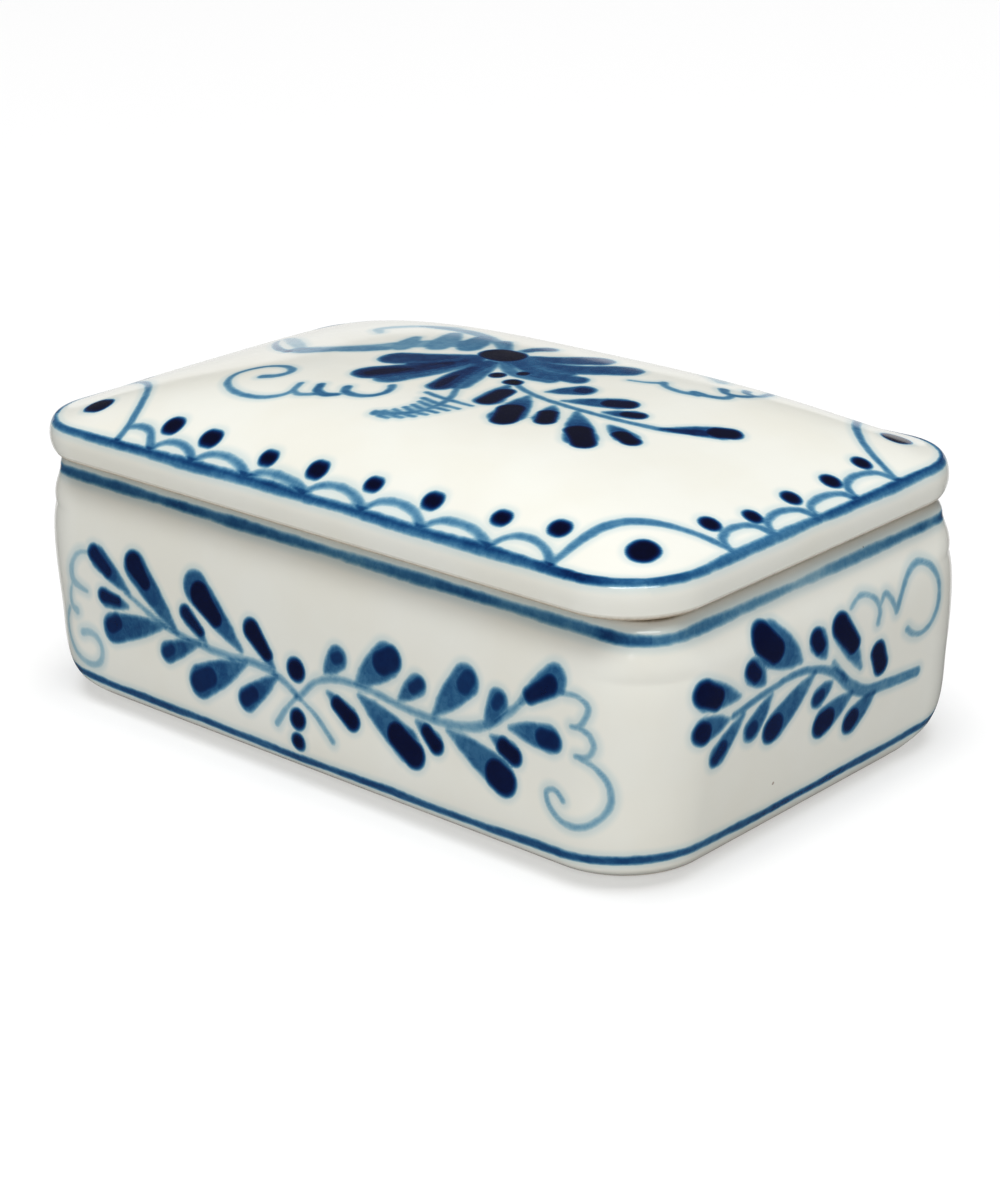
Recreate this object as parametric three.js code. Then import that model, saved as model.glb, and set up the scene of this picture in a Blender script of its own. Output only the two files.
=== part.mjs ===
// Porcelain trinket box: a hollow bombe base and a loose pillow-domed lid.
// Millimetres, +Z up. The origin is on the ground under the middle of the box,
// +X runs along the long side.
import * as THREE from "three";
import { LoftGeometry } from "three/addons/geometries/LoftGeometry.js";

// Lid, seen from above
const LID_LENGTH = 105;
const LID_WIDTH = 62.6;
const LID_CORNER_RADIUS = 10.3;

// Lid, in section
const EDGE_HEIGHT = 4.9; // rolled edge, from the seat to where it would close over
const EDGE_BULGE = 1.35; // how far the rolled edge swells out past its foot
const EDGE_TURN = 68; // degrees above level at which the edge runs into the dome
const DOME_RISE = 7.1;
const DOME_POWER_LONG = 3.2; // fullness of the dome along the box
const DOME_POWER_WIDE = 4; // and across it
const LID_WALL = 4.4;
const FLANGE_DEPTH = 3.2; // locating flange that drops into the base
const FLANGE_WALL = 2.4;
const FLANGE_CLEARANCE = 1.2; // loose all round, as a fired lid needs
const SEAT_GAP = 0.3; // between the lid's seat and the base's rim

// Base
const BASE_HEIGHT = 31.6; // ground to rim
const BASE_WALL = 4;
const BASE_FLOOR = 3.6;
const SHOULDER_DROP = 2.1; // rim down to the top of the wall
const SHOULDER_REACH = 1.7; // how far the shoulder rounds inwards
const RIM_ROUND = 0.6;
const FLOOR_FILLET = 4.5;
const FOOT_RING = 3.2; // width of the unglazed ring that it stands on
const FOOT_RECESS = 1; // how far the underside is hollowed inside the ring
const FOOT_ROUND = 0.5;
const FOOT_FLARE = 3.4; // height over which the foot tapers in to the ring

// Half the lid's size less half the base's, along the length and the width, at
// each height of the wall, with the corner radius there.
const WALL = [
  { z: 0, length: 3.9, width: 2.8, radius: 10.2 },
  { z: FOOT_FLARE, length: 1.5, width: -0.6, radius: 10.7 },
  { z: 12, length: -0.1, width: -0.6, radius: 10.7 },
  { z: BASE_HEIGHT - 6.5, length: -0.7, width: 0.5, radius: 10.5 },
  { z: BASE_HEIGHT - SHOULDER_DROP, length: 1.2, width: 2.9, radius: 5.2 },
];

const MOUTH_RADIUS = 4.5; // corners of the opening, the inside and the flange
const LEAST_RADIUS = 0.8; // of any corner

// Fineness of the mesh
const CORNER_STEPS = 8;
const LONG_STEPS = 8;
const SHORT_STEPS = 5;
const WALL_STEPS = 12;
const SHOULDER_STEPS = 4;
const RIM_STEPS = 2;
const FILLET_STEPS = 4;
const EDGE_STEPS = 8;
const DOME_SHARES = [1, 0.96, 0.91, 0.85, 0.77, 0.67, 0.54, 0.38, 0.2, 0];

const degrees = THREE.MathUtils.degToRad;

// Angles of a quarter turn in equal steps, without the first unless from is 0.
function arcSteps(steps, from = 1) {
  return Array.from({ length: steps + 1 - from }, (_, i) => ((i + from) / steps) * (Math.PI / 2));
}

// One ring of points around a rounded rectangle at height z, anticlockwise
// from above.
function ring(halfLength, halfWidth, radius, z) {
  const r = Math.max(LEAST_RADIUS, radius);
  const corners = [
    [halfLength - r, halfWidth - r, 0],
    [r - halfLength, halfWidth - r, 90],
    [r - halfLength, r - halfWidth, 180],
    [halfLength - r, r - halfWidth, 270],
  ];
  const arcs = corners.map(([x, y, start]) =>
    Array.from({ length: CORNER_STEPS + 1 }, (_, i) => {
      const angle = degrees(start + (90 * i) / CORNER_STEPS);
      return new THREE.Vector3(x + r * Math.cos(angle), y + r * Math.sin(angle), z);
    }),
  );
  return arcs.flatMap((arc, i) => {
    const from = arc.at(-1);
    const to = arcs[(i + 1) % 4][0];
    const steps = i % 2 ? SHORT_STEPS : LONG_STEPS;
    const side = Array.from({ length: steps - 1 }, (_, k) => from.clone().lerp(to, (k + 1) / steps));
    return [...arc, ...side];
  });
}

// Closed body skinned over rings that run from the middle of its underside, out
// and over, to the middle of its top. The first and last ring have no size.
function body(name, rings, material) {
  const mesh = new THREE.Mesh(new LoftGeometry(rings), material);
  mesh.name = name;
  return mesh;
}

// --- Base ---------------------------------------------------------------

const wallCurve = new THREE.CatmullRomCurve3(
  WALL.map((at) => new THREE.Vector3(at.length, at.width, at.z)),
  false,
  "centripetal",
);

function cornerRadiusAt(z) {
  const above = Math.max(1, WALL.findIndex((at, i) => at.z >= z || i === WALL.length - 1));
  const [low, high] = [WALL[above - 1], WALL[above]];
  return THREE.MathUtils.mapLinear(z, low.z, high.z, low.radius, high.radius);
}

// A ring on the wall at a point of wallCurve, moved in by inset.
function wallRing(at, inset = 0, z = at.z, leastRadius = 0) {
  return ring(
    LID_LENGTH / 2 - at.x - inset,
    LID_WIDTH / 2 - at.y - inset,
    Math.max(leastRadius, cornerRadiusAt(at.z) - inset),
    z,
  );
}

const wallPoints = wallCurve.getPoints(WALL_STEPS);
const foot = wallPoints[0];
const wallTop = wallPoints.at(-1);

function mouthRing(inset, z) {
  return wallRing(wallTop, BASE_WALL + inset, z, MOUTH_RADIUS - inset);
}

function middleRing(points, z) {
  return points.map(() => new THREE.Vector3(0, 0, z));
}

function baseRings() {
  const floor = FOOT_RECESS + BASE_FLOOR;
  const recess = wallRing(foot, FOOT_RING + FOOT_RECESS, FOOT_RECESS);
  const underside = [
    middleRing(recess, FOOT_RECESS),
    recess,
    wallRing(foot, FOOT_RING),
    wallRing(foot, FOOT_ROUND),
  ];
  const outside = wallPoints.slice(1).map((at) => wallRing(at));
  const shoulder = arcSteps(SHOULDER_STEPS).map((angle) =>
    wallRing(
      wallTop,
      SHOULDER_REACH * (1 - Math.cos(angle)),
      wallTop.z + SHOULDER_DROP * Math.sin(angle),
    ),
  );
  const rim = arcSteps(RIM_STEPS, 0).map((angle) =>
    mouthRing(RIM_ROUND * (Math.sin(angle) - 1), BASE_HEIGHT - RIM_ROUND * (1 - Math.cos(angle))),
  );
  const inside = wallPoints
    .filter((at) => at.z > floor + FLOOR_FILLET && at.z < BASE_HEIGHT - RIM_ROUND)
    .reverse();
  const lowest = inside.at(-1);
  const fillet = arcSteps(FILLET_STEPS).map((angle) =>
    wallRing(
      lowest,
      BASE_WALL + FLOOR_FILLET * (1 - Math.cos(angle)),
      floor + (lowest.z - floor) * (1 - Math.sin(angle)),
      MOUTH_RADIUS,
    ),
  );
  return [
    ...underside,
    ...outside,
    ...shoulder,
    ...rim,
    ...inside.map((at) => wallRing(at, BASE_WALL, at.z, MOUTH_RADIUS)),
    ...fillet,
    middleRing(recess, floor),
  ];
}

// --- Lid ----------------------------------------------------------------

const seat = BASE_HEIGHT + SEAT_GAP;
const edgeTurn = degrees(EDGE_TURN);
const edgeInset = (angle) => EDGE_BULGE * (1 - Math.cos(angle));
const edgeHeight = (angle) => seat + (EDGE_HEIGHT / 2) * (1 + Math.sin(angle));

// The outline where the dome springs from the rolled edge
const dome = {
  halfLength: LID_LENGTH / 2 - edgeInset(edgeTurn),
  halfWidth: LID_WIDTH / 2 - edgeInset(edgeTurn),
  radius: LID_CORNER_RADIUS - edgeInset(edgeTurn),
  z: edgeHeight(edgeTurn),
};

// How far a rounded corner pulls a side in at a distance from the side's middle.
function cornerCut(distance, halfSide, radius) {
  const into = Math.max(0, distance - (halfSide - radius));
  return radius - Math.sqrt(Math.max(0, radius ** 2 - into ** 2));
}

// Height of the dome's upper face, a pillow that comes down to the dome's outline.
function domeTop(x, y) {
  const { halfLength, halfWidth, radius } = dome;
  const long = Math.abs(x) / (halfLength - cornerCut(Math.abs(y), halfWidth, radius));
  const wide = Math.abs(y) / (halfWidth - cornerCut(Math.abs(x), halfLength, radius));
  const rise = (1 - Math.min(1, long) ** DOME_POWER_LONG) * (1 - Math.min(1, wide) ** DOME_POWER_WIDE);
  return dome.z + DOME_RISE * rise;
}

// A ring shrunk towards the middle and laid on the dome, or drop below it.
function domeRing(outline, share, drop = 0) {
  return outline.map((p) => {
    const [x, y] = [p.x * share, p.y * share];
    return new THREE.Vector3(x, y, domeTop(x, y) - drop);
  });
}

function lidRing(inset, z) {
  return ring(LID_LENGTH / 2 - inset, LID_WIDTH / 2 - inset, LID_CORNER_RADIUS - inset, z);
}

function lidRings() {
  const flangeEnd = seat - FLANGE_DEPTH;
  const inner = mouthRing(FLANGE_CLEARANCE + FLANGE_WALL, flangeEnd);
  const underside = DOME_SHARES.toReversed().map((share) => domeRing(inner, share, LID_WALL));
  const flange = [
    inner,
    mouthRing(FLANGE_CLEARANCE, flangeEnd),
    mouthRing(FLANGE_CLEARANCE, seat),
  ];
  const edge = Array.from({ length: EDGE_STEPS + 1 }, (_, i) => {
    const angle = THREE.MathUtils.lerp(-Math.PI / 2, edgeTurn, i / EDGE_STEPS);
    return lidRing(edgeInset(angle), edgeHeight(angle));
  });
  const top = DOME_SHARES.slice(1).map((share) => domeRing(edge.at(-1), share));
  return [...underside, ...flange, ...edge, ...top];
}

// --- The box ------------------------------------------------------------

const glaze = { color: 0xf1efe6, roughness: 0.12, metalness: 0 };
const box = new THREE.Group();
box.add(
  body("box_base", baseRings(), new THREE.MeshStandardMaterial(glaze)),
  body("lid", lidRings(), new THREE.MeshStandardMaterial(glaze)),
);

export default box;
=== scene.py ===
"""Porcelain trinket box with hand-painted blue decoration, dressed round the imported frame.

Lengths are millimetres, in the frame's axes, until a mesh is made; a mesh is in metres.
"""

import math

import bpy
import numpy as np
from mathutils import Matrix, Vector


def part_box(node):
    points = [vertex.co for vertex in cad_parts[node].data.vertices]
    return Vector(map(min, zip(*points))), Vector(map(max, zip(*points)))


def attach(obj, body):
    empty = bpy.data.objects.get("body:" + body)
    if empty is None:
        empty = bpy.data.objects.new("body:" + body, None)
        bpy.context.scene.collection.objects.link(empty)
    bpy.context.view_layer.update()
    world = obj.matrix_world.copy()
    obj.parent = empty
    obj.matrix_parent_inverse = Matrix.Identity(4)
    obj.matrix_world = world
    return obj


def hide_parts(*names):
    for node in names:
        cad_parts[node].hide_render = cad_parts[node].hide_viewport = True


MM = 0.001

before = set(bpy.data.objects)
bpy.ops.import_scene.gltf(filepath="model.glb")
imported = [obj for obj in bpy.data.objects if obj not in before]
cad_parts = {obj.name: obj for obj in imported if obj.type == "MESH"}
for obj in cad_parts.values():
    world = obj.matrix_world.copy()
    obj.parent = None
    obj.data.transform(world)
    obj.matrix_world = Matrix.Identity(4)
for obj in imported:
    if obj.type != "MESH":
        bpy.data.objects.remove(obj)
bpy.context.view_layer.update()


def box_mm(node):
    """A CAD node's lowest and highest corners in millimetres."""
    low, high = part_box(node)
    return np.array(low) / MM, np.array(high) / MM


lid_low, lid_high = box_mm("lid")
_, base_high = box_mm("box_base")

# --- Driving sizes ----------------------------------------------------------

HALF_LENGTH, HALF_WIDTH = lid_high[0], lid_high[1]
RIM = base_high[2]
SEAT = RIM + 0.3
LID_TOP = lid_high[2]
LID_CORNER = 10.3
EDGE_HEIGHT = 4.9
EDGE_BULGE = 1.35
EDGE_TURN = math.radians(68)
DOME_POWERS = 3.2, 4.0
LID_WALL = 4.4
FLANGE_END = lid_low[2]
FLANGE_WALL = 2.4
FLANGE_CLEARANCE = 1.2
MOUTH_CORNER = 4.5
BASE_WALL = 4.0
FLOOR = 4.6
FLOOR_FILLET = 4.5
SHOULDER_DROP = 2.1
SHOULDER_REACH = 1.7
FOOT_RING = 3.2
FOOT_RECESS = 1.0
FOOT_ROUND = 0.5
RIM_ROUND = 0.6
FLANGE_ROUND = 0.7

# Stations of the wall: how far each lies inside the lid's outline along the length
# and the width, its height, and the radius of its corners
WALL_TOP = RIM - SHOULDER_DROP
WALL = np.array([
    (3.9, 2.8, 0, 10.2),
    (1.5, -0.6, 3.4, 10.7),
    (-0.1, -0.6, 12, 10.7),
    (-0.7, 0.5, RIM - 6.5, 10.5),
    (1.2, 2.9, WALL_TOP, 5.2),
])

FINE = 0.3  # spacing of vertices where there is painting
COARSER = 8  # how many times wider the spacing is inside and underneath


# --- Meshes -----------------------------------------------------------------


class Loop:
    """Points round a rounded rectangle, anticlockwise from above.

    A point is (tx (a - r) + nx r, ty (b - r) + ny r) for half sides a, b and radius r.
    """

    def __init__(self, long_steps, short_steps, corner_steps):
        self.along = np.linspace(-1, 1, long_steps + 1)
        turn = np.linspace(-90, 0, corner_steps + 1)[1:]
        up_turn = np.radians(np.concatenate([[-90], turn, np.zeros(short_steps), turn + 90]))
        flat = np.linspace(-1, 1, short_steps + 1)[1:]
        ones = np.ones(corner_steps)
        self.side_t = np.concatenate([[-1], -ones, flat, ones])
        self.side_nx = np.cos(up_turn)
        self.side_ny = np.sin(up_turn)
        # the flat stretch and both of its ends face straight out
        rows = len(self.side_t)
        out = np.ones(rows)
        self.tx = np.concatenate([self.along, out[1:-1], self.along[::-1], -out[1:-1]])
        zeros = np.zeros(len(self.along))
        self.ty = np.concatenate([zeros - 1, self.side_t[1:-1], zeros + 1, self.side_t[-2:0:-1]])
        self.nx = np.concatenate([zeros, self.side_nx[1:-1], zeros, -self.side_nx[-2:0:-1]])
        self.ny = np.concatenate([zeros - 1, self.side_ny[1:-1], zeros + 1, self.side_ny[-2:0:-1]])

    def at(self, a, b, r, z, every=1):
        tx, ty, nx, ny = (v[::every] for v in (self.tx, self.ty, self.nx, self.ny))
        x, y = tx * (a - r) + nx * r, ty * (b - r) + ny * r
        return np.column_stack([x, y, np.broadcast_to(z, x.shape)])


class Skin:
    """A growing closed mesh with a paint chart: u, v and the chart's number at each vertex."""

    def __init__(self):
        self.points, self.charts, self.faces, self.count = [], [], [], 0

    def add(self, points, u=None, v=None, chart=0):
        n = len(points)
        self.points.append(points)
        nowhere = np.zeros(n)
        columns = [nowhere if c is None else c for c in (u, v)] + [nowhere + chart]
        self.charts.append(np.column_stack(columns))
        self.count += n
        return np.arange(self.count - n, self.count)

    def bridge(self, a, b):
        """Quads between two loops of the same length, facing out where b is above a."""
        quads = np.column_stack([a, np.roll(a, -1), np.roll(b, -1), b])
        self.faces += quads.tolist()

    def chain(self, first, loops):
        """Bridges a loop to the next and so on, and gives back the last."""
        for following in loops:
            self.bridge(first, following)
            first = following
        return first

    def widen(self, fine, coarse, step, outwards):
        """Faces from a fine loop to a coarse one; outwards where the coarse loop comes next."""
        ring = fine.tolist() + [int(fine[0])]
        wide = coarse.tolist() + [int(coarse[0])]
        for i in range(len(coarse)):
            run = ring[i * step : i * step + step + 1]
            face = run + [wide[i + 1], wide[i]]
            self.faces.append(face if outwards else face[::-1])

    def cap(self, loop, up):
        face = loop.tolist()
        self.faces.append(face if up else face[::-1])

    def build(self, name):
        points = np.concatenate(self.points)
        mesh = bpy.data.meshes.new(name)
        mesh.from_pydata((points * MM).tolist(), [], self.faces)
        mesh.shade_smooth()
        piece = bpy.data.objects.new(name, mesh)
        bpy.context.scene.collection.objects.link(piece)
        return piece, points, np.concatenate(self.charts)


def smooth(points, steps):
    """Points on a centripetal Catmull-Rom curve through the given ones."""
    ends = np.vstack([2 * points[0] - points[1], points, 2 * points[-1] - points[-2]])
    gaps = np.sqrt(np.maximum(np.linalg.norm(np.diff(ends, axis=0), axis=1), 1e-6))
    t = np.linspace(0, 1, steps, endpoint=False)[:, None]
    curve = []
    for i in range(1, len(ends) - 2):
        p0, p1, p2, p3 = ends[i - 1 : i + 3]
        g0, g1, g2 = gaps[i - 1 : i + 2]
        leaving = g1 * ((p1 - p0) / g0 - (p2 - p0) / (g0 + g1)) + p2 - p1
        arriving = g1 * ((p3 - p2) / g2 - (p3 - p1) / (g1 + g2)) + p2 - p1
        curve.append(
            (2 * t**3 - 3 * t**2 + 1) * p1
            + (t**3 - 2 * t**2 + t) * leaving
            + (3 * t**2 - 2 * t**3) * p2
            + (t**3 - t**2) * arriving
        )
    return np.vstack(curve + [points[-1:]])


WALL_CURVE = smooth(WALL[:, :3], 24)


def wall_outline(z, inset=0.0, least=0.8):
    """Half sides and corner radius of the base at height z, moved in by inset."""
    long, wide = (np.interp(z, WALL_CURVE[:, 2], WALL_CURVE[:, side]) for side in (0, 1))
    corner = np.interp(z, WALL[:, 2], WALL[:, 3])
    return HALF_LENGTH - long - inset, HALF_WIDTH - wide - inset, max(least, corner - inset)


def quarter(steps, first=1):
    """Angles of a quarter turn."""
    return np.linspace(0, math.pi / 2, steps + 1)[first:]


# Charts on which the painting is laid out, in millimetres of surface
LID_CHART, FRONT, RIGHT, BACK, LEFT = 1, 2, 3, 4, 5


def wall_chart(loop, a, b, r):
    """Distance along each wall from its middle, and which wall each point of a loop is on."""
    across = np.abs(loop.ny) >= math.sqrt(0.5) - 1e-9
    turn_x, turn_y = np.arcsin(np.clip(loop.nx, -1, 1)), np.arcsin(np.clip(loop.ny, -1, 1))
    along_x = loop.tx * (a - r) + r * turn_x
    along_y = loop.ty * (b - r) + r * turn_y
    front_or_back = np.where(loop.ny < 0, FRONT, BACK)
    right_or_left = np.where(loop.nx > 0, RIGHT, LEFT)
    chart = np.where(across, front_or_back, right_or_left)
    u = np.where(across, along_x * -np.sign(loop.ny), along_y * np.sign(loop.nx))
    return u, chart


def make_base():
    """The hollow base, from the middle of its recess out, up, over the rim and in."""
    a, b, r = wall_outline(12.0)
    loop = Loop(
        long_steps=round(2 * (a - r) / FINE / 4) * 4,
        short_steps=round(2 * (b - r) / FINE / 4) * 4,
        corner_steps=round(r * math.pi / 2 / FINE / 4) * 4,
    )
    skin = Skin()

    def ring(z, inset=0.0, at=None, every=1, least=0.8, painted=False):
        outline = wall_outline(z if at is None else at, inset, least)
        points = loop.at(*outline, z, every)
        if not painted:
            return skin.add(points)
        u, chart = wall_chart(loop, *outline)
        return skin.add(points, u, np.full(len(u), z), chart)

    # underside: recess, foot ring
    middle = ring(FOOT_RECESS, FOOT_RING + 14, at=0, every=COARSER)
    skin.cap(middle, up=False)
    recess = FOOT_RECESS * np.sin(quarter(4, 0)[::-1])
    out = FOOT_RECESS * np.cos(quarter(4, 0)[::-1])
    inner = [
        ring(z, FOOT_RING + 1.2 * FOOT_RECESS - 1.2 * o, at=0, every=COARSER)
        for z, o in zip(recess, out)
    ]
    inner_edge = skin.chain(middle, inner)
    foot_flat = ring(0, FOOT_ROUND + 1.0, at=0)
    skin.widen(foot_flat, inner_edge, COARSER, outwards=False)
    turn = quarter(5, 0)
    rounded = [
        ring(FOOT_ROUND * (1 - math.cos(t)), FOOT_ROUND * (1 - math.sin(t)), at=0) for t in turn
    ]
    foot_edge = skin.chain(foot_flat, rounded)
    # painted wall
    rows = np.linspace(FOOT_ROUND * 1.6, WALL_TOP, round(WALL_TOP / FINE))
    wall_edge = skin.chain(foot_edge, [ring(float(z), painted=True) for z in rows])
    # shoulder and rim
    shoulder = [
        ring(
            WALL_TOP + SHOULDER_DROP * math.sin(t),
            SHOULDER_REACH * (1 - math.cos(t)),
            at=WALL_TOP,
            painted=True,
        )
        for t in quarter(9)
    ]
    rim_out = skin.chain(wall_edge, shoulder)
    lip = [
        ring(
            RIM - RIM_ROUND * (1 - math.cos(t)),
            BASE_WALL - RIM_ROUND * (1 - math.sin(t)),
            at=WALL_TOP,
            every=COARSER,
            least=MOUTH_CORNER,
        )
        for t in quarter(4, 0)
    ]
    skin.widen(rim_out, lip[0], COARSER, outwards=True)
    mouth = skin.chain(lip[0], lip[1:])
    # inside
    depth = np.linspace(WALL_TOP, FLOOR + FLOOR_FILLET + 1.5, 16)
    walls = [
        ring(float(z), BASE_WALL, every=COARSER, least=MOUTH_CORNER) for z in depth
    ]
    lowest = float(depth[-1])
    fillet = [
        ring(
            FLOOR + (lowest - FLOOR) * (1 - math.sin(t)),
            BASE_WALL + FLOOR_FILLET * (1 - math.cos(t)),
            at=lowest,
            every=COARSER,
            least=MOUTH_CORNER,
        )
        for t in quarter(10)
    ]
    skin.cap(skin.chain(mouth, walls + fillet), up=True)
    return skin.build("base_glazed")


def section_length(turn):
    """Length over the rolled edge from its outermost line up to an angle."""
    t = np.linspace(0, turn, 60)
    speed = np.hypot(EDGE_BULGE * np.sin(t), EDGE_HEIGHT / 2 * np.cos(t))
    return float(np.mean(speed) * turn)


def edge_inset(turn):
    return EDGE_BULGE * (1 - math.cos(turn))


def edge_height(turn):
    return SEAT + EDGE_HEIGHT / 2 * (1 + math.sin(turn))


DOME_A = HALF_LENGTH - edge_inset(EDGE_TURN)
DOME_B = HALF_WIDTH - edge_inset(EDGE_TURN)
DOME_R = LID_CORNER - edge_inset(EDGE_TURN)
DOME_Z = edge_height(EDGE_TURN)


def corner_cut(distance, half_side, radius):
    """How far a rounded corner pulls a side in at a distance from the side's middle."""
    into = np.clip(distance - (half_side - radius), 0, radius)
    return radius - np.sqrt(radius**2 - into**2)


def dome_height(x, y):
    """Height of the lid's upper face, a pillow that comes down to the dome's outline."""
    x, y = np.abs(x), np.abs(y)
    long = np.clip(x / (DOME_A - corner_cut(y, DOME_B, DOME_R)), 0, 1)
    wide = np.clip(y / (DOME_B - corner_cut(x, DOME_A, DOME_R)), 0, 1)
    power_long, power_wide = DOME_POWERS
    return DOME_Z + (LID_TOP - DOME_Z) * (1 - long**power_long) * (1 - wide**power_wide)


def make_lid():
    """The lid, from the middle of its hollow out over the flange, seat and edge to the dome."""
    loop = Loop(
        long_steps=round(2 * (DOME_A - DOME_R) / FINE / 4) * 4,
        short_steps=round(2 * (DOME_B - DOME_R) / FINE / 4) * 4,
        corner_steps=round(DOME_R * math.pi / 2 / FINE / 4) * 4,
    )
    skin = Skin()
    top_a, top_b, _ = wall_outline(WALL_TOP, BASE_WALL)

    def mouth_ring(inset, z):
        corner = MOUTH_CORNER - inset
        return skin.add(loop.at(top_a - inset, top_b - inset, max(0.8, corner), z, COARSER))

    # hollow underside
    inner = FLANGE_CLEARANCE + FLANGE_WALL
    outline = loop.at(top_a - inner, top_b - inner, MOUTH_CORNER - inner + 0.6, 0, COARSER)
    hollow = []
    for share in np.linspace(0.05, 1, 24) ** 0.7:
        x, y = outline[:, 0] * share, outline[:, 1] * share
        hollow.append(skin.add(np.column_stack([x, y, dome_height(x, y) - LID_WALL])))
    skin.cap(hollow[0], up=False)
    root = skin.chain(hollow[0], hollow[1:])
    turns = quarter(4, 0)
    bottom_in = [
        mouth_ring(
            inner - FLANGE_ROUND * (1 - math.cos(t)),
            FLANGE_END + FLANGE_ROUND * (1 - math.sin(t)),
        )
        for t in turns
    ]
    bottom_out = [
        mouth_ring(
            FLANGE_CLEARANCE + FLANGE_ROUND * (1 - math.sin(t)),
            FLANGE_END + FLANGE_ROUND * (1 - math.cos(t)),
        )
        for t in turns
    ]
    flange = skin.chain(root, bottom_in + bottom_out)
    neck = skin.chain(flange, [mouth_ring(FLANGE_CLEARANCE, SEAT - 0.4)])
    seat_in = skin.chain(neck, [mouth_ring(FLANGE_CLEARANCE - 0.4, SEAT)])

    # seat and rolled edge, painted from the outermost line up
    turns = np.linspace(-math.pi / 2, EDGE_TURN, 26)
    edge = []
    for t in turns[:-1]:
        inset, z = edge_inset(t), edge_height(t)
        points = loop.at(HALF_LENGTH - inset, HALF_WIDTH - inset, LID_CORNER - inset, z)
        lies = section_length(t) if t >= 0 else -section_length(-t)
        edge.append(
            skin.add(points, np.full(len(points), lies - section_length(EDGE_TURN)), None, LID_CHART)
        )
    skin.widen(edge[0], seat_in, COARSER, outwards=False)
    edge_top = skin.chain(edge[0], edge[1:])

    # dome, a grid of rows across whose border is the last loop of the edge
    half = DOME_A - DOME_R + loop.side_nx * DOME_R
    x = half[:, None] * loop.along[None, :]
    y = (loop.side_t * (DOME_B - DOME_R) + loop.side_ny * DOME_R)[:, None] + 0 * x
    grid = np.column_stack([x.ravel(), y.ravel(), dome_height(x, y).ravel()])
    inside_a, inside_b = DOME_A - DOME_R, DOME_B - DOME_R
    qx, qy = np.abs(grid[:, 0]) - inside_a, np.abs(grid[:, 1]) - inside_b
    reach = np.hypot(np.clip(qx, 0, None), np.clip(qy, 0, None)) + np.minimum(np.maximum(qx, qy), 0)
    index = skin.add(grid, DOME_R - reach, None, LID_CHART).reshape(x.shape)
    quads = np.stack([index[:-1, :-1], index[:-1, 1:], index[1:, 1:], index[1:, :-1]], -1)
    skin.faces += quads.reshape(-1, 4).tolist()
    border = np.concatenate(
        [index[0, :], index[1:-1, -1], index[-1, ::-1], index[-2:0:-1, 0]]
    )
    skin.bridge(edge_top, border)
    return skin.build("lid_glazed")


# --- Painting ---------------------------------------------------------------

WASH, LINE, DARK = 0, 1, 2
CLEAR = 3.0  # stored distance to the nearest stroke where there is none near


def stroke(layer, tone, radii, *points):
    """A brush stroke through points, as wide at each as its radii say."""
    points = np.array(points, float).reshape(-1, 2)
    radii = np.atleast_1d(radii)
    places, stations = np.linspace(0, 1, len(points)), np.linspace(0, 1, len(radii))
    return layer, tone, points, np.interp(places, stations, radii)


def stroke_distance(points, radii, u, v):
    """Signed distance from the places (u, v) to a stroke's edge, negative inside."""
    path = np.column_stack([points, radii])
    if len(path) > 2:
        path = smooth(path, 7)
    nearest = np.full(len(u), 1e3)
    for (x0, y0, r0), (x1, y1, r1) in zip(path, path[1:]):
        dx, dy = x1 - x0, y1 - y0
        t = np.clip(((u - x0) * dx + (v - y0) * dy) / max(dx * dx + dy * dy, 1e-9), 0, 1)
        away = np.hypot(u - x0 - t * dx, v - y0 - t * dy) - (r0 + (r1 - r0) * t)
        nearest = np.minimum(nearest, away)
    return nearest


def lay(distance, tone, where, brushes, u, v, load=1.0):
    """Lays strokes on the vertices where, adding to their distances and tones.

    load is how heavily the whole drawing is painted.
    """
    for layer, strength, points, radii in brushes:
        reach = radii.max() + CLEAR
        low, high = points.min(0) - reach, points.max(0) + reach
        near = (u > low[0]) & (u < high[0]) & (v > low[1]) & (v < high[1])
        at = where[near]
        away = stroke_distance(points, radii, u[near], v[near])
        distance[at, layer] = np.minimum(distance[at, layer], away)
        # the tone reaches past the stroke's edge, so that the edge itself stays crisp
        reaches = np.clip(1.3 - away / 0.5, 0, 1)
        tone[at, layer] = np.maximum(tone[at, layer], load * strength * reaches)


def leaf(base, head, width, blob, deep=0.9, pale=0.42):
    """A one-stroke leaf: a pale wash widening from its base, and a dark drop in its head.

    blob is (x, y, radius, x, y, radius) of the drop.
    """
    base, head = np.array(base, float), np.array(head, float)
    waist = base + 0.5 * (head - base)
    brushes = [stroke(WASH, pale, [0.3, 0.72 * width, width], base, waist, head)]
    # the wash gathers towards the head
    for start, load in ((0.3, 1.13), (0.45, 1.26), (0.6, 1.4)):
        brushes.append(stroke(WASH, load * pale, [(0.35 + 0.6 * start) * width, 0.95 * width],
                              base + start * (head - base), head))
    x0, y0, r0, x1, y1, r1 = blob
    brushes.append(stroke(DARK, deep, [r0, r1], (x0, y0), (x1, y1)))
    return brushes


def dot(x, y, radius, deep=1.0, wide=0.0, tall=0.0):
    """A dark dot, drawn out by wide or tall on both sides of its middle."""
    return stroke(DARK, deep, radius, (x - wide, y - tall), (x + wide, y + tall))


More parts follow.
